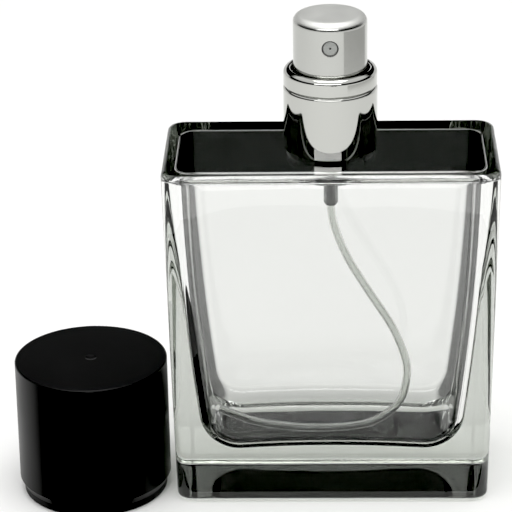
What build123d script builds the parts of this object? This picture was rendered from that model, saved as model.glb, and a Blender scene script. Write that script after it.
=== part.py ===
from build123d import *
import math
import os

# Pump-spray bottle for aftershave or scent: a clear glass block with a crimped fine-mist pump,
# a polished collar and push button, and a black overcap that stands beside the bottle.
# Millimetres. Origin: centre of the bottle's base. +Z up, the nozzle looks along -Y.

# --- Driving dimensions ------------------------------------------------------------------------
# Glass body
BODY_WIDTH_LOW = 61.5
BODY_WIDTH_HIGH = 64.2
BODY_DEPTH_LOW = 29.5
BODY_DEPTH_HIGH = 30.8
BODY_HEIGHT = 69.5
BODY_CORNER_LOW = 3.3
BODY_CORNER_HIGH = 3.5
HEEL_FILLET = 1.4
SHOULDER_FILLET = 1.0

# Liquid space inside the glass
CAVITY_FLOOR = 9.6
CAVITY_FLOOR_CROWN = 1.2
CAVITY_TOP = 67.3
CAVITY_HALF_WIDTH_LOW = 25.0
CAVITY_HALF_WIDTH_MID = 27.8
CAVITY_MID_HEIGHT = 33.0
CAVITY_HALF_WIDTH_HIGH = 29.7
CAVITY_HALF_DEPTH = 11.8
CAVITY_CORNER = 8.0
CAVITY_SIDE_FILLET = 3.6
CAVITY_TOP_FILLET = 0.5

# Crimp neck, the common 15 mm size
NECK_RADIUS = 6.4
BEAD_RADIUS = 7.4
BEAD_HEIGHT = 3.4
BORE_RADIUS = 5.2
NECK_TOP = BODY_HEIGHT + 7.2
BEAD_UNDERSIDE = NECK_TOP - BEAD_HEIGHT
BEAD_FILLET = 0.5
OVERLAP = 1.0

# Gasket, pump flange and crimp ferrule, stacked on the neck
GASKET_THICKNESS = 0.8
GASKET_RADIUS = 7.2
GASKET_HOLE = 4.6
FLANGE_THICKNESS = 1.1
FLANGE_RADIUS = 7.2
FLANGE_UNDERSIDE = NECK_TOP + GASKET_THICKNESS
FLANGE_TOP = FLANGE_UNDERSIDE + FLANGE_THICKNESS
FERRULE_WALL = 0.4
FERRULE_INNER = 7.5
FERRULE_OUTER = FERRULE_INNER + FERRULE_WALL
CRIMP_LIP_RADIUS = 6.9
CRIMP_GAP = 0.05
STEM_GASKET_THICKNESS = 0.8
TURRET_RADIUS = 4.8
TURRET_UNDERSIDE = FLANGE_TOP + STEM_GASKET_THICKNESS
TURRET_TOP = TURRET_UNDERSIDE + 1.9
TURRET_SHELL_INNER = TURRET_RADIUS + 0.1
TURRET_SHELL_OUTER = TURRET_SHELL_INNER + FERRULE_WALL
TURRET_SHELL_HOLE = 2.6

# Pump body and dip tube
HOUSING_RADIUS = 4.4
HOUSING_BORE = 3.3
HOUSING_LOW = NECK_TOP - 11.3
HOUSING_TAPER = 0.8
CAGE_RADIUS = 3.0
CAGE_LOW = HOUSING_LOW - 2.0
CAGE_CHAMFER = 0.5
SPRING_SEAT = CAGE_LOW + 3.2
BALL_POCKET_RADIUS = 1.15
BALL_SEAT = CAGE_LOW + 1.0
BALL_RADIUS = 1.0
BALL_LIP_RADIUS = 0.9
BALL_LIP_HEIGHT = 0.2
BALL_REST_GAP = 0.01
INLET_RADIUS = 0.5
TAIL_RADIUS = 1.4
TAIL_LOW = CAGE_LOW - 5.0
TAIL_CHAMFER = 0.3
TAIL_CHAMFER_HEIGHT = 0.5
TUBE_SOCKET_TOP = CAGE_LOW - 1.0
VENT_RADIUS = 0.3
VENT_HEIGHT = FLANGE_UNDERSIDE - 2.0
TUBE_RADIUS = 0.8
TUBE_BORE = 0.5

# Plunger: stem, piston, poppet and return spring, drawn in the released position
PUMP_STROKE = 4.0
STEM_RADIUS = 1.7
STEM_BORE = 0.8
STEM_CLEARANCE = 0.02
TURRET_CLEARANCE = 0.1
STEM_TOP = BODY_HEIGHT + 21.5
STEM_STOP_RADIUS = 2.6
STEM_STOP_HEIGHT = 1.2
STEM_STOP_TOP = FLANGE_TOP - 0.05
STEM_CHAMFER = 0.3
STEM_FOOT_RADIUS = 2.2
STEM_FOOT_HEIGHT = 0.4
STEM_FOOT_LOW = SPRING_SEAT + 7.9
PISTON_CLEARANCE = 0.02
PISTON_WAIST = 0.6
PISTON_LIP_WALL = 0.5
PISTON_LIP_DROP = 0.35
PISTON_LIP_HEIGHT = 0.8
POPPET_FLANGE_RADIUS = 2.9
POPPET_FLANGE_HEIGHT = 0.5
POPPET_PIN_RADIUS = 0.55
POPPET_PIN_HEIGHT = 3.0
POPPET_PORT_RADIUS = 0.35
POPPET_PORT_PLACE = 1.75
POPPET_PORT_COUNT = 3
SPRING_MEAN_RADIUS = 2.45
SPRING_WIRE_RADIUS = 0.22
SPRING_TURNS = 6.0

# Push button
BUTTON_RADIUS = 7.05
BUTTON_WALL = 0.35
BUTTON_TOP = BODY_HEIGHT + 27.0
BUTTON_LOW = BODY_HEIGHT + 15.0
BUTTON_RIM = 1.6
CORE_GAP = 0.05
CORE_LOW = BUTTON_LOW + 0.2
CORE_SKIRT_INNER = 5.6
CORE_WEB_UNDERSIDE = BODY_HEIGHT + 20.0
BOSS_RADIUS = 3.0
BOSS_LOW = TURRET_TOP + FERRULE_WALL + PUMP_STROKE + 0.3
NOZZLE_HEIGHT = BODY_HEIGHT + 22.25
NOZZLE_WINDOW = 1.6
NOZZLE_RADIUS = 1.35
NOZZLE_FACE = 6.75
NOZZLE_BACK = 5.35
NOZZLE_POCKET_BACK = 4.6
NOZZLE_EDGE_FILLET = 0.15
FEED_HEIGHT = NOZZLE_HEIGHT + 1.0
FEED_RADIUS = 0.3
SWIRL_POST_RADIUS = 0.7
SWIRL_POST_FACE = NOZZLE_FACE - 0.8
SWIRL_CHAMBER_RADIUS = SWIRL_POST_RADIUS + 0.15
SWIRL_CHAMBER_FACE = NOZZLE_FACE - 0.6
ORIFICE_RADIUS = 0.2

# Collar
COLLAR_RADIUS = 9.0
COLLAR_BAND_RADIUS = 8.95
COLLAR_GROOVE_RADIUS = 8.6
COLLAR_INNER = 8.5
COLLAR_HOLE = 7.5
COLLAR_LOW = BODY_HEIGHT + 0.65
COLLAR_GROOVE_LOW = BODY_HEIGHT + 12.4
COLLAR_SHOULDER = BODY_HEIGHT + 15.5
COLLAR_TOP = BODY_HEIGHT + 16.55
COLLAR_LIP_LOW = BODY_HEIGHT + 14.9
COLLAR_LIP_RADIUS = 0.4
COLLAR_LIP_WALL = 0.35
COLLAR_GROOVE_MID = COLLAR_GROOVE_LOW + 0.6
COLLAR_GROOVE_HIGH = COLLAR_GROOVE_LOW + 0.95
COLLAR_GROOVE_INNER = COLLAR_INNER - 0.25
LINER_TOP = BODY_HEIGHT + 10.0
LINER_LOW = COLLAR_LOW + 0.4
LINER_GAP = 0.02
LINER_WEB_GAP = 0.05

# Overcap, standing open end down beside the bottle
CAP_X = -47.45
CAP_Y = -6.0
CAP_TOP_RADIUS = 15.0
CAP_LOW_RADIUS = 15.1
CAP_HEIGHT = 27.8
CAP_TOP_WALL = 1.3
CAP_BORE = 13.6
CAP_FOOT_RADIUS = 14.3
CAP_FOOT_STEP = 0.05
CAP_FOOT_HEIGHT = 1.6
CAP_BEVEL_TOP = 3.1
CAP_EDGE_FILLET = 0.35
CAP_FOOT_FILLET = 0.3
GATE_DIMPLE_RADIUS = 1.15
GATE_DIMPLE_DEPTH = 0.2
GRIP_BORE = 9.03
GRIP_OUTER = 9.9
GRIP_HEIGHT = 17.0
SNAP_RING_INNER = 12.7
SNAP_RING_OUTER = 13.55
SNAP_RING_TOP = 6.0
RIB_COUNT = 6
RIB_WIDTH = 0.8
RIB_TOP = 15.0
RIB_OVERLAP = 0.2


# --- Helpers -----------------------------------------------------------------------------------
def turned(points):
    """A solid turned about Z from a closed outline of (radius, height) points."""
    outline = Polyline(*[(radius, 0, height) for radius, height in points], close=True)
    return revolve(make_face(outline), Axis.Z)


def disc(radius, low, high, x=0.0, y=0.0):
    """An upright cylinder between two heights."""
    return Pos(x, y, low) * extrude(Circle(radius), high - low)


def ring(inner, outer, low, high):
    """An upright tube between two heights."""
    return disc(outer, low, high) - disc(inner, low, high)


def forward_disc(radius, near, far, height):
    """A cylinder that runs along -Y, from one distance to another in front of the axis."""
    return Plane((0, -near, height), x_dir=(1, 0, 0), z_dir=(0, -1, 0)) * extrude(Circle(radius), far - near)


def circles(solid, radius, height):
    """The solid's circular edges about Z of one radius at one height."""
    return [
        edge
        for edge in solid.edges().filter_by(GeomType.CIRCLE)
        if abs(edge.radius - radius) < 0.01 and abs(edge.center().Z - height) < 0.01
    ]


def rounded_block(width_low, depth_low, corner_low, width_high, depth_high, corner_high, height):
    """A block with draft on its sides and rounded upright corners, standing on z = 0."""
    low = RectangleRounded(width_low, depth_low, corner_low)
    high = Pos(0, 0, height) * RectangleRounded(width_high, depth_high, corner_high)
    return loft([low, high], ruled=True)


# --- Bottle ------------------------------------------------------------------------------------
def liquid_space():
    """The inside of the body: thick at the base, with bowed sides and a floor that crowns in the middle."""
    low_left = (-CAVITY_HALF_WIDTH_LOW, 0, CAVITY_FLOOR)
    low_right = (CAVITY_HALF_WIDTH_LOW, 0, CAVITY_FLOOR)
    high_left = (-CAVITY_HALF_WIDTH_HIGH, 0, CAVITY_TOP)
    high_right = (CAVITY_HALF_WIDTH_HIGH, 0, CAVITY_TOP)
    mid_left = (-CAVITY_HALF_WIDTH_MID, 0, CAVITY_MID_HEIGHT)
    mid_right = (CAVITY_HALF_WIDTH_MID, 0, CAVITY_MID_HEIGHT)
    crown = (0, 0, CAVITY_FLOOR + CAVITY_FLOOR_CROWN)
    front = make_face([
        ThreePointArc(low_left, crown, low_right),
        ThreePointArc(low_right, mid_right, high_right),
        Line(high_right, high_left),
        ThreePointArc(high_left, mid_left, low_left),
    ])
    prism = extrude(front, CAVITY_HALF_DEPTH, dir=(0, 1, 0), both=True)
    floor_corners = [
        edge
        for edge in prism.edges()
        if abs(edge.center().Y) < 0.1 and abs(edge.center().Z - CAVITY_FLOOR) < 0.1
    ]
    prism = fillet(floor_corners, CAVITY_CORNER)
    sides = [
        edge
        for edge in prism.edges()
        if abs(edge.center().Y) > CAVITY_HALF_DEPTH - 0.1 and edge.center().Z < CAVITY_TOP - 0.1
    ]
    prism = fillet(sides, CAVITY_SIDE_FILLET)
    ceiling = [edge for edge in prism.edges() if edge.center().Z > CAVITY_TOP - 0.1]
    return fillet(ceiling, CAVITY_TOP_FILLET)


def glass_bottle():
    body = rounded_block(BODY_WIDTH_LOW, BODY_DEPTH_LOW, BODY_CORNER_LOW,
                         BODY_WIDTH_HIGH, BODY_DEPTH_HIGH, BODY_CORNER_HIGH, BODY_HEIGHT)
    body = fillet([edge for edge in body.edges() if edge.center().Z < 0.1], HEEL_FILLET)
    body = fillet([edge for edge in body.edges() if edge.center().Z > BODY_HEIGHT - 0.1], SHOULDER_FILLET)
    bead = disc(BEAD_RADIUS, BEAD_UNDERSIDE, NECK_TOP)
    bead_edges = circles(bead, BEAD_RADIUS, BEAD_UNDERSIDE) + circles(bead, BEAD_RADIUS, NECK_TOP)
    bead = fillet(bead_edges, BEAD_FILLET)
    neck = disc(NECK_RADIUS, BODY_HEIGHT - OVERLAP, BEAD_UNDERSIDE + OVERLAP) + bead
    bore = disc(BORE_RADIUS, CAVITY_TOP - OVERLAP, NECK_TOP + OVERLAP)
    return body + neck - liquid_space() - bore


# --- Closure and pump --------------------------------------------------------------------------
def neck_gasket():
    return ring(GASKET_HOLE, GASKET_RADIUS, NECK_TOP, FLANGE_UNDERSIDE)


def crimp_ferrule():
    lip_low = BEAD_UNDERSIDE - CRIMP_GAP - FERRULE_WALL
    return turned([
        (CRIMP_LIP_RADIUS, lip_low),
        (FERRULE_OUTER, lip_low),
        (FERRULE_OUTER, FLANGE_TOP + FERRULE_WALL),
        (TURRET_SHELL_OUTER, FLANGE_TOP + FERRULE_WALL),
        (TURRET_SHELL_OUTER, TURRET_TOP + FERRULE_WALL),
        (TURRET_SHELL_HOLE, TURRET_TOP + FERRULE_WALL),
        (TURRET_SHELL_HOLE, TURRET_TOP),
        (TURRET_SHELL_INNER, TURRET_TOP),
        (TURRET_SHELL_INNER, FLANGE_TOP),
        (FERRULE_INNER, FLANGE_TOP),
        (FERRULE_INNER, lip_low + FERRULE_WALL),
        (CRIMP_LIP_RADIUS, lip_low + FERRULE_WALL),
    ])


def pump_housing():
    lip_low = SPRING_SEAT - BALL_LIP_HEIGHT
    body = turned([
        (TUBE_RADIUS, TAIL_LOW),
        (TAIL_RADIUS - TAIL_CHAMFER, TAIL_LOW),
        (TAIL_RADIUS, TAIL_LOW + TAIL_CHAMFER_HEIGHT),
        (TAIL_RADIUS, CAGE_LOW),
        (CAGE_RADIUS - CAGE_CHAMFER, CAGE_LOW),
        (CAGE_RADIUS, CAGE_LOW + CAGE_CHAMFER),
        (CAGE_RADIUS, HOUSING_LOW),
        (HOUSING_RADIUS, HOUSING_LOW + HOUSING_TAPER),
        (HOUSING_RADIUS, FLANGE_UNDERSIDE),
        (FLANGE_RADIUS, FLANGE_UNDERSIDE),
        (FLANGE_RADIUS, FLANGE_TOP),
        (HOUSING_BORE, FLANGE_TOP),
        (HOUSING_BORE, SPRING_SEAT),
        (BALL_LIP_RADIUS, SPRING_SEAT),
        (BALL_LIP_RADIUS, lip_low),
        (BALL_POCKET_RADIUS, lip_low),
        (BALL_POCKET_RADIUS, BALL_SEAT),
        (INLET_RADIUS, BALL_SEAT),
        (INLET_RADIUS, TUBE_SOCKET_TOP),
        (TUBE_RADIUS, TUBE_SOCKET_TOP),
    ])
    vent = forward_disc(VENT_RADIUS, 0, HOUSING_RADIUS + OVERLAP, VENT_HEIGHT)
    return body - vent


def pump_turret():
    return ring(STEM_RADIUS + TURRET_CLEARANCE, TURRET_RADIUS, TURRET_UNDERSIDE, TURRET_TOP)


def stem_gasket():
    return ring(STEM_RADIUS + STEM_CLEARANCE, TURRET_RADIUS, FLANGE_TOP, TURRET_UNDERSIDE)


def inlet_ball():
    drop = math.sqrt(BALL_RADIUS**2 - INLET_RADIUS**2)
    return Pos(0, 0, BALL_SEAT + drop + BALL_REST_GAP) * Sphere(BALL_RADIUS)


def return_spring():
    low = SPRING_SEAT + SPRING_WIRE_RADIUS
    high = STEM_FOOT_LOW - POPPET_FLANGE_HEIGHT - SPRING_WIRE_RADIUS
    pitch = (high - low) / SPRING_TURNS
    path = Pos(0, 0, low) * Helix(pitch=pitch, height=high - low, radius=SPRING_MEAN_RADIUS)
    section = Plane(path @ 0, z_dir=path % 0) * Circle(SPRING_WIRE_RADIUS)
    return sweep(section, path=path, is_frenet=True)


def poppet():
    """Valve plug under the stem: a flange that the spring lifts, and a pin up the stem's bore."""
    low = STEM_FOOT_LOW - POPPET_FLANGE_HEIGHT
    flange = disc(POPPET_FLANGE_RADIUS, low, STEM_FOOT_LOW)
    port = disc(POPPET_PORT_RADIUS, low, STEM_FOOT_LOW, x=POPPET_PORT_PLACE)
    for number in range(POPPET_PORT_COUNT):
        flange -= Rot(0, 0, 360 / POPPET_PORT_COUNT * number) * port
    return flange + disc(POPPET_PIN_RADIUS, STEM_FOOT_LOW, STEM_FOOT_LOW + POPPET_PIN_HEIGHT)


def piston():
    """Sliding seal on the stem, with a lip up and a lip down against the housing bore."""
    low = STEM_FOOT_LOW + STEM_FOOT_HEIGHT
    high = STEM_STOP_TOP - STEM_STOP_HEIGHT
    lip = HOUSING_BORE - PISTON_CLEARANCE
    return turned([
        (STEM_RADIUS, low),
        (lip - PISTON_LIP_WALL, low),
        (lip, low - PISTON_LIP_DROP),
        (lip, low + PISTON_LIP_HEIGHT),
        (lip - PISTON_WAIST, low + 1.5 * PISTON_LIP_HEIGHT),
        (lip - PISTON_WAIST, high - 1.2 * PISTON_LIP_HEIGHT),
        (lip, high - PISTON_LIP_WALL),
        (lip, high),
        (STEM_RADIUS, high),
    ])


def stem():
    return turned([
        (STEM_BORE, STEM_FOOT_LOW),
        (STEM_FOOT_RADIUS, STEM_FOOT_LOW),
        (STEM_FOOT_RADIUS, STEM_FOOT_LOW + STEM_FOOT_HEIGHT),
        (STEM_RADIUS, STEM_FOOT_LOW + STEM_FOOT_HEIGHT),
        (STEM_RADIUS, STEM_STOP_TOP - STEM_STOP_HEIGHT),
        (STEM_STOP_RADIUS, STEM_STOP_TOP - STEM_STOP_HEIGHT),
        (STEM_STOP_RADIUS, STEM_STOP_TOP),
        (STEM_RADIUS, STEM_STOP_TOP),
        (STEM_RADIUS, STEM_TOP - STEM_CHAMFER),
        (STEM_RADIUS - STEM_CHAMFER, STEM_TOP),
        (STEM_BORE, STEM_TOP),
    ])


def dip_tube():
    """Springy tube, longer than the bottle is deep: it bows to the right and lies along the floor."""
    route = [
        (0, 0, TUBE_SOCKET_TOP),
        (0, 0, 55.6),
        (2.6, 0, 47.9),
        (7.2, 0, 39.9),
        (12.4, 0, 31.8),
        (15.4, 0.2, 23.0),
        (14.0, 0.2, 15.2),
        (8.6, -2.0, 12.0),
        (1.2, -3.8, 11.7),
        (-7.0, -3.6, 11.7),
        (-15.4, -1.4, 11.8),
        (-22.4, 1.4, 13.4),
    ]
    places = [Vector(*point) for point in route]
    radii = []
    for before, here, after in zip(places, places[1:], places[2:]):
        arriving = here - before
        leaving = after - here
        turn = math.radians(arriving.get_angle(leaving))
        radii.append(0.45 * min(arriving.length, leaving.length) / math.tan(turn / 2))
    path = FilletPolyline(*route, radius=radii)
    start = Plane(path @ 0, z_dir=path % 0)
    outer = sweep(start * Circle(TUBE_RADIUS), path=path)
    inner = sweep(start * Circle(TUBE_BORE), path=path)
    return outer - inner


# --- Push button -------------------------------------------------------------------------------
def button_shell():
    outer = disc(BUTTON_RADIUS, BUTTON_LOW, BUTTON_TOP)
    outer = fillet(circles(outer, BUTTON_RADIUS, BUTTON_TOP), BUTTON_RIM)
    radius = BUTTON_RADIUS - BUTTON_WALL
    top = BUTTON_TOP - BUTTON_WALL
    inside = disc(radius, BUTTON_LOW, top)
    inside = fillet(circles(inside, radius, top), BUTTON_RIM - BUTTON_WALL)
    window = forward_disc(NOZZLE_WINDOW, 0, BUTTON_RADIUS + OVERLAP, NOZZLE_HEIGHT)
    return outer - inside - window


def button_core():
    """Moulded inside of the button: socket for the stem, feed channel and nozzle pocket."""
    radius = BUTTON_RADIUS - BUTTON_WALL - CORE_GAP
    top = BUTTON_TOP - BUTTON_WALL - CORE_GAP
    core = disc(radius, CORE_LOW, top)
    core = fillet(circles(core, radius, top), BUTTON_RIM - BUTTON_WALL - CORE_GAP)
    core -= disc(CORE_SKIRT_INNER, CORE_LOW, CORE_WEB_UNDERSIDE)
    core += disc(BOSS_RADIUS, BOSS_LOW, CORE_WEB_UNDERSIDE)
    core -= disc(STEM_RADIUS + STEM_CLEARANCE, BOSS_LOW, STEM_TOP)
    core -= disc(STEM_BORE, STEM_TOP, FEED_HEIGHT + FEED_RADIUS)
    core -= forward_disc(FEED_RADIUS, 0, NOZZLE_POCKET_BACK, FEED_HEIGHT)
    pocket = forward_disc(NOZZLE_RADIUS, NOZZLE_POCKET_BACK, BUTTON_RADIUS, NOZZLE_HEIGHT)
    post = forward_disc(SWIRL_POST_RADIUS, NOZZLE_POCKET_BACK, SWIRL_POST_FACE, NOZZLE_HEIGHT)
    return core - (pocket - post)


def nozzle_insert():
    """Cup pressed into the pocket: swirl chamber behind, spray orifice in front."""
    cup = forward_disc(NOZZLE_RADIUS, NOZZLE_BACK, NOZZLE_FACE, NOZZLE_HEIGHT)
    rim = [edge for edge in cup.edges().filter_by(GeomType.CIRCLE) if edge.center().Y < -NOZZLE_FACE + 0.01]
    cup = fillet(rim, NOZZLE_EDGE_FILLET)
    chamber = forward_disc(SWIRL_CHAMBER_RADIUS, NOZZLE_BACK, SWIRL_CHAMBER_FACE, NOZZLE_HEIGHT)
    orifice = forward_disc(ORIFICE_RADIUS, NOZZLE_BACK, NOZZLE_FACE + OVERLAP, NOZZLE_HEIGHT)
    return cup - chamber - orifice


# --- Collar ------------------------------------------------------------------------------------
def collar_shell():
    """Polished sleeve: plain lower part, rolled groove, narrow band, rounded shoulder and hole."""
    lip_back = COLLAR_HOLE + COLLAR_LIP_WALL
    lower_top = (COLLAR_RADIUS, 0, COLLAR_GROOVE_LOW)
    groove_bottom = (COLLAR_GROOVE_RADIUS, 0, COLLAR_GROOVE_MID)
    band_top = (COLLAR_BAND_RADIUS, 0, COLLAR_SHOULDER)
    crest = (COLLAR_HOLE + COLLAR_LIP_RADIUS, 0, COLLAR_TOP)
    hole_top = (COLLAR_HOLE, 0, COLLAR_TOP - COLLAR_LIP_RADIUS)
    outline = make_face([
        Line((COLLAR_RADIUS, 0, COLLAR_LOW), lower_top),
        TangentArc(lower_top, groove_bottom, tangent=(0, 0, 1)),
        Polyline(groove_bottom, (COLLAR_BAND_RADIUS, 0, COLLAR_GROOVE_HIGH), band_top),
        TangentArc(band_top, crest, tangent=(0, 0, 1)),
        TangentArc(crest, hole_top, tangent=(-1, 0, 0)),
        Polyline(hole_top, (COLLAR_HOLE, 0, COLLAR_LIP_LOW),
                 (lip_back, 0, COLLAR_LIP_LOW), (lip_back, 0, COLLAR_SHOULDER + 0.1),
                 (COLLAR_INNER, 0, COLLAR_SHOULDER - 0.3), (COLLAR_INNER, 0, COLLAR_GROOVE_HIGH + 0.2),
                 (COLLAR_GROOVE_INNER, 0, COLLAR_GROOVE_MID), (COLLAR_INNER, 0, COLLAR_GROOVE_LOW - 0.2),
                 (COLLAR_INNER, 0, COLLAR_LOW), (COLLAR_RADIUS, 0, COLLAR_LOW)),
    ])
    return revolve(outline, Axis.Z)


def collar_liner():
    """Plastic ring between the ferrule and the collar, with a top web that rests on the ferrule."""
    web_low = FLANGE_TOP + FERRULE_WALL
    outer = COLLAR_INNER - LINER_GAP
    sleeve = ring(FERRULE_OUTER + LINER_GAP, outer, LINER_LOW, LINER_TOP)
    return sleeve + ring(TURRET_SHELL_OUTER + LINER_WEB_GAP, outer, web_low, LINER_TOP)


# --- Overcap -----------------------------------------------------------------------------------
def cap_shell():
    """Moulded cup with a slight draft, bevelled at its open rim, gate mark in the top."""
    outer = turned([
        (0, CAP_FOOT_HEIGHT),
        (CAP_FOOT_RADIUS + CAP_FOOT_STEP, CAP_FOOT_HEIGHT),
        (CAP_LOW_RADIUS, CAP_BEVEL_TOP),
        (CAP_TOP_RADIUS, CAP_HEIGHT),
        (0, CAP_HEIGHT),
    ])
    outer = fillet(circles(outer, CAP_TOP_RADIUS, CAP_HEIGHT), CAP_EDGE_FILLET)
    inside = disc(CAP_BORE, CAP_FOOT_HEIGHT, CAP_HEIGHT - CAP_TOP_WALL)
    dimple_ball = (GATE_DIMPLE_RADIUS**2 + GATE_DIMPLE_DEPTH**2) / (2 * GATE_DIMPLE_DEPTH)
    dimple = Pos(0, 0, CAP_HEIGHT - GATE_DIMPLE_DEPTH + dimple_ball) * Sphere(dimple_ball)
    return Pos(CAP_X, CAP_Y, 0) * (outer - inside - dimple)


def cap_liner():
    """Inner sleeve that grips the collar: foot flange, snap ring in the shell, grip tube and ribs."""
    foot = ring(GRIP_BORE, CAP_FOOT_RADIUS, 0, CAP_FOOT_HEIGHT)
    foot = fillet(circles(foot, CAP_FOOT_RADIUS, 0), CAP_FOOT_FILLET)
    grip = ring(GRIP_BORE, GRIP_OUTER, CAP_FOOT_HEIGHT, GRIP_HEIGHT)
    snap = ring(SNAP_RING_INNER, SNAP_RING_OUTER, CAP_FOOT_HEIGHT, SNAP_RING_TOP)
    liner = foot + grip + snap
    rib_length = SNAP_RING_INNER - GRIP_OUTER + 2 * RIB_OVERLAP
    rib_centre = (GRIP_OUTER + SNAP_RING_INNER) / 2
    rib_section = Pos(rib_centre, 0, CAP_FOOT_HEIGHT) * Rectangle(rib_length, RIB_WIDTH)
    rib = extrude(rib_section, RIB_TOP - CAP_FOOT_HEIGHT)
    for number in range(RIB_COUNT):
        liner += Rot(0, 0, 360 / RIB_COUNT * number) * rib
    return Pos(CAP_X, CAP_Y, 0) * liner


# --- Write one file per sub-part ---------------------------------------------------------------
SUB_PARTS = {
    "glass_bottle": glass_bottle,
    "neck_gasket": neck_gasket,
    "crimp_ferrule": crimp_ferrule,
    "pump_housing": pump_housing,
    "pump_turret": pump_turret,
    "stem_gasket": stem_gasket,
    "inlet_ball": inlet_ball,
    "return_spring": return_spring,
    "poppet": poppet,
    "piston": piston,
    "stem": stem,
    "dip_tube": dip_tube,
    "collar_shell": collar_shell,
    "collar_liner": collar_liner,
    "button_shell": button_shell,
    "button_core": button_core,
    "nozzle_insert": nozzle_insert,
    "cap_shell": cap_shell,
    "cap_liner": cap_liner,
}

os.makedirs("parts", exist_ok=True)
for name, make in SUB_PARTS.items():
    export_step(make(), "parts/" + name + ".step")
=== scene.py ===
import bpy
import math
from mathutils import Matrix, Vector


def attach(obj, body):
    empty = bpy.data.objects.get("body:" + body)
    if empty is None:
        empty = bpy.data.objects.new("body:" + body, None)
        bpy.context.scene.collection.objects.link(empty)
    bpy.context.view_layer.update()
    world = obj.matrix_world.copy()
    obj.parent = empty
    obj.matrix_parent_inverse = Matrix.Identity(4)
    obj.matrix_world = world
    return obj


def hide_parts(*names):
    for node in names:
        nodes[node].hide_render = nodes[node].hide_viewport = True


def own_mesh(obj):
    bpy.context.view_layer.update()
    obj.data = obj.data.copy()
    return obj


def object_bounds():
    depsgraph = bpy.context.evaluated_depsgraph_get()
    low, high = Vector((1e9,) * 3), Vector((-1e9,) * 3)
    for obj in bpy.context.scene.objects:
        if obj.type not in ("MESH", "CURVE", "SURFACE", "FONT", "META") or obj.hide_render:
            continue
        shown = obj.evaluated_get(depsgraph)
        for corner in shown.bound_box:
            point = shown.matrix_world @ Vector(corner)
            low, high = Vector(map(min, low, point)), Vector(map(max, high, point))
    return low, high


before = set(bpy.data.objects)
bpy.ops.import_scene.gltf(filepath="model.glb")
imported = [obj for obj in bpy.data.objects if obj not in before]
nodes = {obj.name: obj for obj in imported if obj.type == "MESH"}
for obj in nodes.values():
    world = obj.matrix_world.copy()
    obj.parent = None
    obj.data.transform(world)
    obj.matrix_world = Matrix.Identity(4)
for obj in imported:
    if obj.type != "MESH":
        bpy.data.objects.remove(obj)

cad_low, cad_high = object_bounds()
scene = bpy.context.scene

# --- Camera: a long lens, above and in front of the bottle ---------------------------------------
LENS_MM = 180.0
CAMERA_PLACE = (0.0001, -0.4601, 0.2462)
CAMERA_PITCH = 23.42
CAMERA_TURN = 1.844
CAMERA_ROLL = -1.0

# --- Studio -------------------------------------------------------------------------------------
FLOOR_SIZE = 12.0
FLOOR_DROP = 0.00002
FLOOR_COLOUR = (0.86, 0.86, 0.85, 1.0)
# Sheets flat on the floor that the camera doesn't see, in metres: painted shade and painted
# reflections that show only in reflections or through the glass. The rectangles' areas are left,
# front, right, back.
BLACK_PAINTED_SHADE = (0.004, 0.004, 0.004, 1.0)
GREY_PAINTED_REFLECTION = (0.5, 0.5, 0.49, 1.0)
PALE_PAINTED_SHADE = (0.76, 0.765, 0.75, 1.0)
FRONT_PAINTED_SHADE_RADIUS = 0.16
FRONT_PAINTED_SHADE_EDGE = -0.018
FRONT_PAINTED_SHADE_HEIGHT = 0.0006
GREY_PAINTED_REFLECTION_RADII = (0.242, 0.42)
GREY_PAINTED_REFLECTION_ANGLES = (-48, 45)
GREY_PAINTED_REFLECTION_HEIGHT = 0.0005
PALE_PAINTED_SHADE_AREA = (-0.06, 0.016, 0.06, 0.158)
PALE_PAINTED_SHADE_HEIGHT = 0.0002
UNDER_PAINTED_SHADOW_AREA = (-0.040, -0.013, 0.040, 0.0135)
UNDER_PAINTED_SHADOW_DROP = 0.00001
BACKDROP_LIGHT = 1.0
# Sky brightness at sines of the elevation: round the sides and front, and behind the bottle
SIDE_SKY = [(0.0, 0.25), (0.05, 0.02), (0.42, 0.02), (0.52, 0.9), (1.0, 1.0)]
BACK_SKY = [(0.0, 0.85), (0.24, 0.85), (0.31, 0.006), (0.60, 0.006), (0.72, 1.0)]
# How much of the sky behind the bottle shows, at cosines of the angle from +Y
BACK_SPREAD = [(0.35, 0.0), (0.55, 1.0)]
BLACK_LEVEL = 0.02
LIGHT_BOUNCES = 24
GLOSSY_BOUNCES = 12


def make_camera():
    data = bpy.data.cameras.new("camera")
    data.lens = LENS_MM
    data.sensor_width = 36.0
    data.clip_start = 0.01
    data.clip_end = 50.0
    camera = bpy.data.objects.new("camera", data)
    scene.collection.objects.link(camera)
    turn = Matrix.Rotation(math.radians(CAMERA_TURN), 4, "Z")
    tilt = Matrix.Rotation(math.radians(90 - CAMERA_PITCH), 4, "X")
    roll = Matrix.Rotation(math.radians(CAMERA_ROLL), 4, "Z")
    camera.matrix_world = Matrix.Translation(CAMERA_PLACE) @ turn @ tilt @ roll
    scene.camera = camera


# --- Stage --------------------------------------------------------------------------------------
def stage_sheet(name, points, faces, height, colour):
    """A flat diffuse sheet that belongs to the studio."""
    mesh = bpy.data.meshes.new(name)
    mesh.from_pydata([(x, y, 0) for x, y in points], [], faces)
    sheet = bpy.data.objects.new(name, mesh)
    scene.collection.objects.link(sheet)
    sheet.location.z = height
    material = bpy.data.materials.new(name)
    material.use_nodes = True
    tree = material.node_tree
    tree.nodes.clear()
    output = tree.nodes.new("ShaderNodeOutputMaterial")
    shader = tree.nodes.new("ShaderNodeBsdfDiffuse")
    shader.inputs["Color"].default_value = colour
    tree.links.new(shader.outputs["BSDF"], output.inputs["Surface"])
    mesh.materials.append(material)
    return sheet


def painted_sheet(name, points, faces, height, colour, in_reflections):
    """A sheet that the camera doesn't see and that shows in reflections alone, or else through glass
    alone: painted reflection or painted shade.
    """
    sheet = stage_sheet(name, points, faces, height, colour)
    sheet.visible_camera = False
    sheet.visible_diffuse = False
    sheet.visible_shadow = False
    sheet.visible_glossy = in_reflections
    sheet.visible_transmission = not in_reflections


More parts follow.
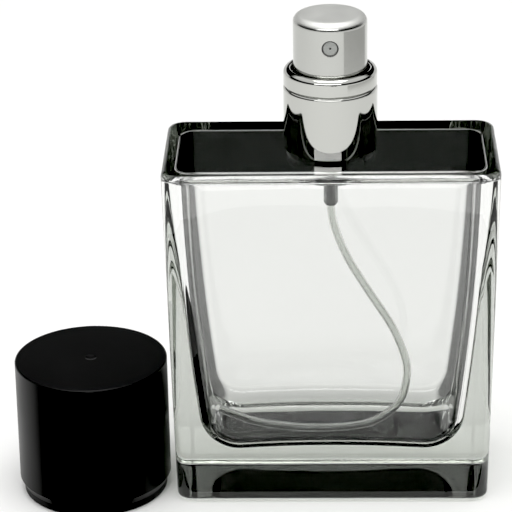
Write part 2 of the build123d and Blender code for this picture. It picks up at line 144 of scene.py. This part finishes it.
def sector(inner, outer, start, end, steps=48):
    """Points and faces of a flat ring sector; angles in degrees from +X."""
    points = []
    faces = []
    for step in range(steps + 1):
        angle = math.radians(start + (end - start) * step / steps)
        points.append((inner * math.cos(angle), inner * math.sin(angle)))
        points.append((outer * math.cos(angle), outer * math.sin(angle)))
    for first in range(0, 2 * steps, 2):
        faces.append((first, first + 1, first + 3, first + 2))
    return points, faces


def half_disc(radius, edge, steps=32):
    """The part of a disc in front of the line y = edge."""
    tilt = math.asin(-edge / radius)
    points = []
    for step in range(steps + 1):
        angle = math.pi + tilt + (math.pi - 2 * tilt) * step / steps
        points.append((radius * math.cos(angle), radius * math.sin(angle)))
    return points, [tuple(range(steps + 1))]


def rectangle(left, front, right, back):
    """Corners and face of a flat rectangle."""
    return [(left, front), (right, front), (right, back), (left, back)], [(0, 1, 2, 3)]


def make_stage():
    """The floor, and the sheets of painted shade and painted reflection that darken or brighten what
    the metal, the cap and the glass show.
    """
    half = FLOOR_SIZE / 2
    floor, faces = rectangle(-half, -half, half, half)
    stage_sheet("floor", floor, faces, cad_low.z - FLOOR_DROP, FLOOR_COLOUR)
    # Painted shade: a black sheet in front of the bottle that shows only in reflections.
    front, faces = half_disc(FRONT_PAINTED_SHADE_RADIUS, FRONT_PAINTED_SHADE_EDGE)
    painted_sheet("painted_shade_front", front, faces, FRONT_PAINTED_SHADE_HEIGHT, BLACK_PAINTED_SHADE, in_reflections=True)
    # Painted reflection: a grey sheet to the right of the bottle that shows only in reflections.
    grey, faces = sector(*GREY_PAINTED_REFLECTION_RADII, *GREY_PAINTED_REFLECTION_ANGLES)
    painted_sheet("painted_reflection_grey", grey, faces, GREY_PAINTED_REFLECTION_HEIGHT, GREY_PAINTED_REFLECTION, in_reflections=True)
    # Painted shade: a pale grey sheet behind the bottle, darker than the floor, that shows only
    # through the glass.
    pale, faces = rectangle(*PALE_PAINTED_SHADE_AREA)
    painted_sheet("painted_shade_pale", pale, faces, PALE_PAINTED_SHADE_HEIGHT, PALE_PAINTED_SHADE, in_reflections=False)
    # Painted shadow: a black sheet under the bottle that shows only through the glass.
    under, faces = rectangle(*UNDER_PAINTED_SHADOW_AREA)
    painted_sheet("painted_shadow_under", under, faces, cad_low.z - UNDER_PAINTED_SHADOW_DROP, BLACK_PAINTED_SHADE, in_reflections=False)


def make_world():
    """A sky that is pale high up and dark low down, with a band of its own behind the bottle. The
    camera sees a plain pale backdrop instead."""
    world = bpy.data.worlds.new("world")
    scene.world = world
    world.use_nodes = True
    tree = world.node_tree
    tree.nodes.clear()
    output = tree.nodes.new("ShaderNodeOutputWorld")
    background = tree.nodes.new("ShaderNodeBackground")
    coordinates = tree.nodes.new("ShaderNodeTexCoord")
    split = tree.nodes.new("ShaderNodeSeparateXYZ")
    tree.links.new(coordinates.outputs["Generated"], split.inputs["Vector"])

    def ramp(source, stops):
        node = tree.nodes.new("ShaderNodeValToRGB")
        elements = node.color_ramp.elements
        while len(elements) < len(stops):
            elements.new(0.5)
        for element, (place, level) in zip(elements, stops):
            element.position = place
            element.color = (level, level, level, 1)
        tree.links.new(source, node.inputs["Fac"])
        return node.outputs["Color"]

    def mix(factor, first, second):
        node = tree.nodes.new("ShaderNodeMix")
        node.data_type = "RGBA"
        tree.links.new(factor, node.inputs["Factor"])
        tree.links.new(first, node.inputs["A"])
        tree.links.new(second, node.inputs["B"])
        return node.outputs["Result"]

    sides = ramp(split.outputs["Z"], SIDE_SKY)
    behind = ramp(split.outputs["Z"], BACK_SKY)
    backdrop = ramp(split.outputs["Z"], [(0.0, BACKDROP_LIGHT), (1.0, BACKDROP_LIGHT)])
    toward_back = ramp(split.outputs["Y"], BACK_SPREAD)
    path = tree.nodes.new("ShaderNodeLightPath")
    sky = mix(toward_back, sides, behind)
    tree.links.new(mix(path.outputs["Is Camera Ray"], sky, backdrop), background.inputs["Color"])
    tree.links.new(background.outputs["Background"], output.inputs["Surface"])


def area_light(name, place, target, width, height, power):
    data = bpy.data.lights.new(name, "AREA")
    data.shape = "RECTANGLE"
    data.size = width
    data.size_y = height
    data.energy = power
    light = bpy.data.objects.new(name, data)
    scene.collection.objects.link(light)
    light.location = place
    aim = Vector(target) - Vector(place)
    light.rotation_euler = aim.to_track_quat("-Z", "Y").to_euler()
    light.visible_camera = False


def make_lights():
    high = (0.0, -0.1, 1.3)
    area_light("overhead", place=high, target=(0, 0, 0), width=0.9, height=0.7, power=9.0)
    near = (-0.09, -0.75, 0.42)
    area_light("front", place=near, target=(0, 0, 0.08), width=1.0, height=0.15, power=2.4)


# --- Materials ----------------------------------------------------------------------------------
GLASS_IOR = 1.5
# The bottle's hollow: how far it reaches to the front and back of y = 0, and its ceiling's height
HOLLOW_DEPTH = 0.0119
HOLLOW_TOP = 0.0673
# How dark the painted shade on the hollow's upright and level rounded edges is, and over which values
# of the masks made of the normal's squares it comes in
PAINTED_SHADE_COLOUR = (0.002, 0.0022, 0.002)
UPRIGHT_PAINTED_SHADE = 0.955
UPRIGHT_SPAN = (0.0005, 0.012)
LEVEL_PAINTED_SHADE = 0.35
LEVEL_SPAN = (0.05, 0.25)
# The same painted shade for the ceiling: its own rounded edges, its flat part, and the heights that
# it lies between
CEILING_EDGE_SPAN = (0.01, 0.1)
CEILING_FLAT_SPAN = (0.9, 0.95)
CEILING_FOOT = (0.002, 0.0015)
CEILING_HEAD = (0.0002, 0.0004)
# Parts of the hollow's depth over which the ceiling's painted shade ends, and the part where the
# edges' does
CEILING_REACH = (0.92, 0.95)
EDGE_REACH = 1.04


class Look:
    """One Principled material with its procedural detail."""

    def __init__(self, name, colour, roughness, metallic=0.0, transmission=0.0):
        self.material = bpy.data.materials.new(name)
        self.material.use_nodes = True
        self.tree = self.material.node_tree
        self.tree.nodes.clear()
        self.output = self.add("ShaderNodeOutputMaterial")
        self.shader = self.add("ShaderNodeBsdfPrincipled")
        self.coordinates = self.add("ShaderNodeTexCoord")
        self.set("Base Color", (*colour, 1))
        self.set("Roughness", roughness)
        self.set("Metallic", metallic)
        self.set("Transmission Weight", transmission)
        self.set("IOR", GLASS_IOR)
        self.link(self.shader.outputs["BSDF"], self.output.inputs["Surface"])

    def add(self, kind):
        return self.tree.nodes.new(kind)

    def link(self, source, target):
        self.tree.links.new(source, target)

    def set(self, socket, value):
        self.shader.inputs[socket].default_value = value

    def noise(self, scale, detail=3.0, stretch=(1, 1, 1), distortion=0.0):
        """Noise in metres; a stretch above 1 squeezes it along that axis."""
        mapping = self.add("ShaderNodeMapping")
        mapping.inputs["Scale"].default_value = stretch
        self.link(self.coordinates.outputs["Object"], mapping.inputs["Vector"])
        noise = self.add("ShaderNodeTexNoise")
        noise.inputs["Scale"].default_value = scale
        noise.inputs["Detail"].default_value = detail
        noise.inputs["Distortion"].default_value = distortion
        self.link(mapping.outputs["Vector"], noise.inputs["Vector"])
        return noise.outputs["Fac"]

    def span(self, source, low, high, start=0.3, end=0.7):
        """Turns values from start to end into values from low to high, and holds them there."""
        node = self.add("ShaderNodeMapRange")
        node.inputs["From Min"].default_value = start
        node.inputs["From Max"].default_value = end
        node.inputs["To Min"].default_value = low
        node.inputs["To Max"].default_value = high
        self.link(source, node.inputs["Value"])
        return node.outputs["Result"]

    def rises(self, value, start, end):
        """0 up to start, rising to 1 at end."""
        return self.span(value, 0.0, 1.0, start, end)

    def falls(self, value, start, end):
        """1 up to start, falling to 0 at end."""
        return self.span(value, 1.0, 0.0, start, end)

    def combine(self, first, second, operation="MULTIPLY"):
        node = self.add("ShaderNodeMath")
        node.operation = operation
        self.link(first, node.inputs[0])
        self.link(second, node.inputs[1])
        return node.outputs["Value"]

    def square(self, value):
        return self.combine(value, value)

    def split(self, vector):
        node = self.add("ShaderNodeSeparateXYZ")
        self.link(vector, node.inputs["Vector"])
        return node.outputs["X"], node.outputs["Y"], node.outputs["Z"]

    def roughness(self, source):
        self.link(source, self.shader.inputs["Roughness"])

    def rough(self, low, high, scale, detail, stretch=(1, 1, 1)):
        """Roughness that wanders between two values."""
        self.roughness(self.span(self.noise(scale, detail, stretch), low, high))

    def colours(self, source, first, second):
        """The first colour where the source is 0, the second where it is 1."""
        mix = self.add("ShaderNodeMix")
        mix.data_type = "RGBA"
        mix.inputs["A"].default_value = (*first, 1)
        mix.inputs["B"].default_value = (*second, 1)
        self.link(source, mix.inputs["Factor"])
        self.link(mix.outputs["Result"], self.shader.inputs["Base Color"])

    def bump(self, source, strength, distance):
        node = self.add("ShaderNodeBump")
        node.inputs["Strength"].default_value = strength
        node.inputs["Distance"].default_value = distance
        self.link(source, node.inputs["Height"])
        self.link(node.outputs["Normal"], self.shader.inputs["Normal"])

    def upness(self, low, high):
        """0 on upright surfaces to 1 on surfaces that face up."""
        geometry = self.add("ShaderNodeNewGeometry")
        return self.rises(self.split(geometry.outputs["Normal"])[2], low, high)

    def painted_hollow_shade(self, depth, ceiling):
        """Painted shade on the glass round the bottle's hollow: how dark its ceiling and its rounded
        edges are painted. It reaches depth to the front and back, and up to the ceiling."""
        geometry = self.add("ShaderNodeNewGeometry")
        across, along, up = [self.square(part) for part in self.split(geometry.outputs["Normal"])]
        _, away, height = self.split(geometry.outputs["Position"])
        reach = self.square(away)

        upright = self.combine(self.square(across), along)
        upright = self.span(upright, 0.0, UPRIGHT_PAINTED_SHADE, *UPRIGHT_SPAN)
        level = self.span(self.combine(along, up), 0.0, LEVEL_PAINTED_SHADE, *LEVEL_SPAN)
        edges = self.combine(upright, level, "MAXIMUM")
        edges = self.combine(edges, self.falls(reach, depth**2, EDGE_REACH * depth**2))

        slope = self.combine(self.combine(across, along, "ADD"), up)
        top = self.rises(slope, *CEILING_EDGE_SPAN)
        top = self.combine(top, self.rises(up, *CEILING_FLAT_SPAN), "MAXIMUM")
        top = self.combine(top, self.rises(height, *[ceiling - drop for drop in CEILING_FOOT]))
        top = self.combine(top, self.falls(height, *[ceiling + rise for rise in CEILING_HEAD]))
        top = self.combine(top, self.falls(reach, *[(part * depth) ** 2 for part in CEILING_REACH]))
        return self.combine(edges, top, "MAXIMUM")

    def lets_light_through(self, colour):
        """Lamps shine through the clear material instead of leaving a black shadow."""
        path = self.add("ShaderNodeLightPath")
        clear = self.add("ShaderNodeBsdfTransparent")
        clear.inputs["Color"].default_value = (*colour, 1)
        mix = self.add("ShaderNodeMixShader")
        self.link(path.outputs["Is Shadow Ray"], mix.inputs["Fac"])
        self.link(self.shader.outputs["BSDF"], mix.inputs[1])
        self.link(clear.outputs["BSDF"], mix.inputs[2])
        self.link(mix.outputs["Shader"], self.output.inputs["Surface"])

    def absorbs(self, colour, density):
        """Tints light by how far it goes through the material."""
        volume = self.add("ShaderNodeVolumeAbsorption")
        volume.inputs["Color"].default_value = (*colour, 1)
        volume.inputs["Density"].default_value = density
        self.link(volume.outputs["Volume"], self.output.inputs["Volume"])

    def wear(self, *names):
        """Puts the material on pieces."""
        for name in names:
            for slot in nodes[name].material_slots:
                slot.material = self.material


def bottle_glass():
    look = Look("bottle_glass", (1.0, 1.0, 1.0), 0.0, transmission=1.0)
    waves = look.noise(scale=36.0, detail=1.0, stretch=(1, 1, 0.7), distortion=0.4)
    look.bump(waves, strength=0.22, distance=0.0008)
    # Painted shade: the glass's colour is painted near black over the hollow's ceiling and rounded
    # edges.
    shade = look.painted_hollow_shade(HOLLOW_DEPTH, HOLLOW_TOP)
    look.colours(shade, (1.0, 1.0, 1.0), PAINTED_SHADE_COLOUR)
    look.absorbs((0.52, 0.55, 0.50), density=26.0)
    look.lets_light_through((0.72, 0.73, 0.71))
    return look


def polished_metal():
    look = Look("collar_polish", (0.515, 0.52, 0.497), 0.04, metallic=1.0)
    look.rough(0.03, 0.075, scale=180.0, detail=4.0)
    hairlines = look.noise(scale=2600.0, detail=2.0, stretch=(1, 1, 0.06))
    look.bump(hairlines, strength=0.02, distance=0.00002)
    return look


def button_metal():
    """Polished round the sides, satin on top, with the top's colour painted lighter than the sides:
    painted light.
    """
    look = Look("button_satin_and_painted_light", (0.56, 0.565, 0.54), 0.15, metallic=1.0)
    up = look.upness(0.25, 0.6)
    polish = look.span(look.noise(scale=240.0, detail=3.0), 0.10, 0.15)
    satin = look.span(look.noise(scale=240.0, detail=3.0), 0.52, 0.60)
    mix = look.add("ShaderNodeMix")
    look.link(up, mix.inputs["Factor"])
    look.link(polish, mix.inputs["A"])
    look.link(satin, mix.inputs["B"])
    look.roughness(mix.outputs["Result"])
    # Painted light: surfaces that face up get a lighter colour than the sides.
    look.colours(up, (0.49, 0.495, 0.475), (0.70, 0.705, 0.68))
    grain = look.noise(scale=3200.0, detail=2.0)
    look.bump(grain, strength=0.06, distance=0.00003)
    return look


def ferrule_metal():
    look = Look("ferrule_aluminium", (0.74, 0.74, 0.73), 0.3, metallic=1.0)
    look.rough(0.22, 0.42, scale=900.0, detail=4.0, stretch=(1, 1, 0.1))
    hairlines = look.noise(scale=1800.0, detail=2.0, stretch=(1, 1, 0.08))
    look.bump(hairlines, strength=0.08, distance=0.00003)
    return look


def spring_steel():
    look = Look("steel", (0.55, 0.55, 0.54), 0.22, metallic=1.0)
    look.rough(0.14, 0.3, scale=2500.0, detail=3.0)
    look.bump(look.noise(scale=4000.0, detail=2.0), strength=0.05, distance=0.00002)
    return look


def moulded(name, first, second, roughness):
    """A moulded plastic whose colour wanders between two."""
    look = Look(name, first, roughness)
    look.colours(look.noise(scale=160.0, detail=3.0), first, second)
    look.rough(roughness * 0.85, roughness * 1.2, scale=500.0, detail=3.0)
    look.bump(look.noise(scale=2400.0, detail=3.0), strength=0.08, distance=0.00004)
    return look


def clear_plastic(name, colour, roughness, shadow):
    """A clear plastic, with the colour that light has behind it."""
    look = Look(name, colour, roughness, transmission=1.0)
    look.rough(roughness * 0.7, roughness * 1.4, scale=700.0, detail=3.0)
    look.bump(look.noise(scale=260.0, detail=2.0), strength=0.1, distance=0.0001)
    look.lets_light_through(shadow)
    return look


def cap_plastic():
    look = Look("cap_black", (0.005, 0.005, 0.005), 0.3)
    cloud = look.noise(scale=120.0, detail=2.0)
    look.colours(cloud, (0.0055, 0.0055, 0.0055), (0.0070, 0.0070, 0.0070))
    look.rough(0.33, 0.37, scale=90.0, detail=2.0)
    look.set("Specular IOR Level", 0.2)
    look.bump(look.noise(scale=4200.0, detail=2.0), strength=0.12, distance=0.00002)
    return look


def coil_spring():
    """The return spring, as a piece of its own with its own mesh, held by the bottle."""
    spring = nodes["return_spring"].copy()
    spring.data = spring.data.copy()
    spring.name = "coil_spring"
    scene.collection.objects.link(spring)
    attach(spring, "bottle")
    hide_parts("return_spring")
    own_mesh(spring)


def dress():
    bottle_glass().wear("glass_bottle")
    polished_metal().wear("collar_shell")
    button_metal().wear("button_shell")
    ferrule_metal().wear("crimp_ferrule")
    spring_steel().wear("return_spring", "inlet_ball")
    white = moulded("white_plastic", (0.74, 0.74, 0.71), (0.80, 0.80, 0.77), 0.38)
    white.wear("pump_turret", "poppet", "stem", "collar_liner")
    rubber = moulded("gasket_rubber", (0.55, 0.55, 0.52), (0.62, 0.62, 0.58), 0.6)
    rubber.wear("neck_gasket", "stem_gasket")
    moulded("piston_plastic", (0.66, 0.67, 0.64), (0.72, 0.73, 0.70), 0.35).wear("piston")
    clear_plastic("natural_plastic", (0.30, 0.31, 0.30), 0.16, (0.5, 0.5, 0.5)).wear("pump_housing")
    clear_plastic("tube_plastic", (0.76, 0.775, 0.75), 0.06, (0.75, 0.75, 0.75)).wear("dip_tube")
    moulded("core_plastic", (0.10, 0.10, 0.10), (0.13, 0.13, 0.13), 0.4).wear("button_core")
    moulded("nozzle_plastic", (0.30, 0.31, 0.30), (0.36, 0.37, 0.35), 0.25).wear("nozzle_insert")
    cap_plastic().wear("cap_shell")
    liner = moulded("liner_black", (0.005, 0.005, 0.005), (0.008, 0.008, 0.008), 0.45)
    liner.set("Specular IOR Level", 0.2)
    liner.wear("cap_liner")


make_camera()
make_stage()
make_world()
make_lights()
dress()
coil_spring()
scene.view_settings.view_transform = "Standard"
scene.view_settings.use_curve_mapping = True
scene.view_settings.curve_mapping.black_level = (BLACK_LEVEL, BLACK_LEVEL, BLACK_LEVEL)
scene.cycles.max_bounces = LIGHT_BOUNCES
scene.cycles.transmission_bounces = LIGHT_BOUNCES
scene.cycles.glossy_bounces = GLOSSY_BOUNCES
scene.cycles.transparent_max_bounces = LIGHT_BOUNCES
